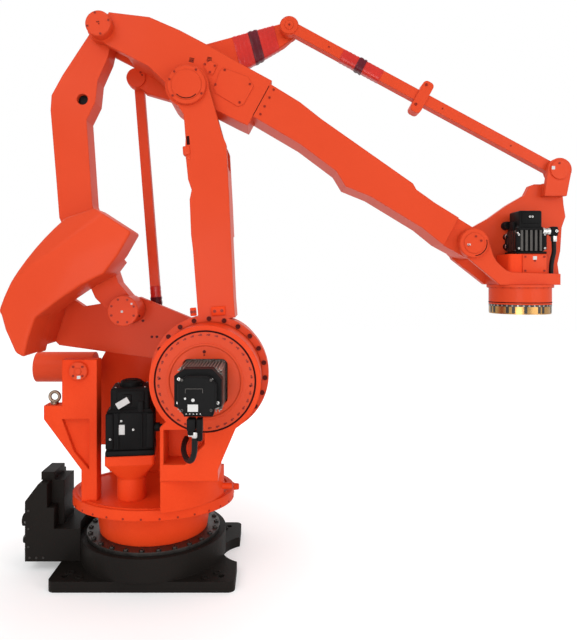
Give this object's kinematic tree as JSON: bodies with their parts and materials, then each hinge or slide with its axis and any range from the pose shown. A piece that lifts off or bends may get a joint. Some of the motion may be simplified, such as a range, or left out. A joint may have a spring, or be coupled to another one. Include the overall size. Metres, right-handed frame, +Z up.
{
  "type": "industrial palletizing robot arm",
  "caption": "Floor-standing palletizing robot arm with parallel levelling linkage, counterweight and a turning tool flange.",
  "frame": {"origin": "centre of the base's underside, on the slew axis, at floor level", "axes": "+Z up along the slew axis; +X the way the arm reaches at rest; +Y to the back of the linkage"},
  "size_m": [2.5737, 1.2706, 2.5499],
  "materials": {
    "robot_orange": "gloss orange-red paint",
    "base_black": "satin black paint on cast iron",
    "motor_black": "satin black",
    "cable_black": "matte black jacket",
    "zinc_steel": "zinc plated",
    "flange_steel": "oiled bare steel with a golden film"
  },
  "bodies": {
    "base": {"base_casting": "base_black", "slew_ring": "base_black", "cable_box": "base_black"},
    "turret": {"turntable": "robot_orange", "front_cheek": "robot_orange", "shoulder_cover": "robot_orange", "shoulder_motor": "motor_black", "rear_cheek": "robot_orange", "crank_cover": "robot_orange", "crank_motor": "motor_black", "rod_bracket": "robot_orange", "front_post": "robot_orange", "lifting_eye": "zinc_steel", "balancer_barrel": "robot_orange", "yaw_pedestal": "robot_orange", "yaw_motor": "motor_black", "shoulder_plug": "motor_black", "shoulder_lead": "cable_black", "yaw_conduit": "motor_black"},
    "lower_arm": {"lower_arm": "robot_orange", "elbow_pin": "robot_orange"},
    "crank": {"crank_arm": "robot_orange", "counterweight": "robot_orange"},
    "link_pin": {"link_pin": "robot_orange"},
    "rear_link": {"rear_link": "robot_orange"},
    "forearm": {"forearm_knuckle": "robot_orange", "forearm_beam": "robot_orange", "fork_bolt": "robot_orange", "knuckle_cover": "robot_orange", "cable_plate": "robot_orange"},
    "elbow_lever": {"elbow_lever": "robot_orange"},
    "level_rod": {"level_rod": "robot_orange"},
    "upper_link": {"upper_link": "robot_orange", "link_clamp": "robot_orange"},
    "wrist": {"wrist_frame": "robot_orange", "wrist_pin": "robot_orange", "tool_drive": "robot_orange", "tool_motor_block": "robot_orange", "tool_motor": "motor_black", "tool_plug": "motor_black", "tool_lead": "cable_black"},
    "flange": {"tool_flange": "flange_steel"}
  },
  "joints": [
    {"name": "slew", "type": "hinge", "parent": "base", "child": "turret", "pos_m": [0, 0, 0.16], "axis": [0, 0, 1], "range_deg": [-180, 180]},
    {"name": "lower_arm_swing", "type": "hinge", "parent": "turret", "child": "lower_arm", "pos_m": [0.27, 0, 0.879], "axis": [0, 1, 0], "range_deg": [-10, 65]},
    {"name": "crank_swing", "type": "hinge", "parent": "turret", "child": "crank", "pos_m": [0.27, 0, 0.879], "axis": [0, 1, 0], "range_deg": [-30, 20]},
    {"name": "elbow_lever_pivot", "type": "hinge", "parent": "lower_arm", "child": "elbow_lever", "pos_m": [0.16997, 0, 2.15007], "axis": [0, 1, 0], "range_deg": [-65, 10]},
    {"name": "elbow_pivot", "type": "hinge", "parent": "elbow_lever", "child": "forearm", "pos_m": [0.16997, 0, 2.15007], "axis": [0, 1, 0], "range_deg": [-30, 20]},
    {"name": "link_pin_pivot", "type": "hinge", "parent": "crank", "child": "link_pin", "pos_m": [-0.12223, 0, 1.15569], "axis": [0, 1, 0], "range_deg": [-20, 30]},
    {"name": "rear_link_pivot", "type": "hinge", "parent": "link_pin", "child": "rear_link", "pos_m": [-0.12223, 0, 1.15569], "axis": [0, 1, 0], "range_deg": [-10, 65]},
    {"name": "level_rod_pivot", "type": "hinge", "parent": "turret", "child": "level_rod", "pos_m": [-0.01246, 0, 1.00181], "axis": [0, 1, 0], "range_deg": [-10, 65]},
    {"name": "upper_link_pivot", "type": "hinge", "parent": "elbow_lever", "child": "upper_link", "pos_m": [0.62746, 0, 2.50494], "axis": [0, 1, 0], "range_deg": [-30, 20]},
    {"name": "wrist_pivot", "type": "hinge", "parent": "forearm", "child": "wrist", "pos_m": [1.44425, 0, 1.45819], "axis": [0, 1, 0], "range_deg": [-20, 30]},
    {"name": "tool_turn", "type": "hinge", "parent": "wrist", "child": "flange", "pos_m": [1.69625, 0, 1.14019], "axis": [0, 0, 1], "range_deg": [-360, 360]}
  ],
  "couplings": [
    {"joint": "elbow_lever_pivot", "follows": "lower_arm_swing", "ratio": -1},
    {"joint": "rear_link_pivot", "follows": "lower_arm_swing", "ratio": 1},
    {"joint": "level_rod_pivot", "follows": "lower_arm_swing", "ratio": 1},
    {"joint": "link_pin_pivot", "follows": "crank_swing", "ratio": -1},
    {"joint": "elbow_pivot", "follows": "crank_swing", "ratio": 1},
    {"joint": "upper_link_pivot", "follows": "crank_swing", "ratio": 1},
    {"joint": "wrist_pivot", "follows": "crank_swing", "ratio": -1}
  ]
}
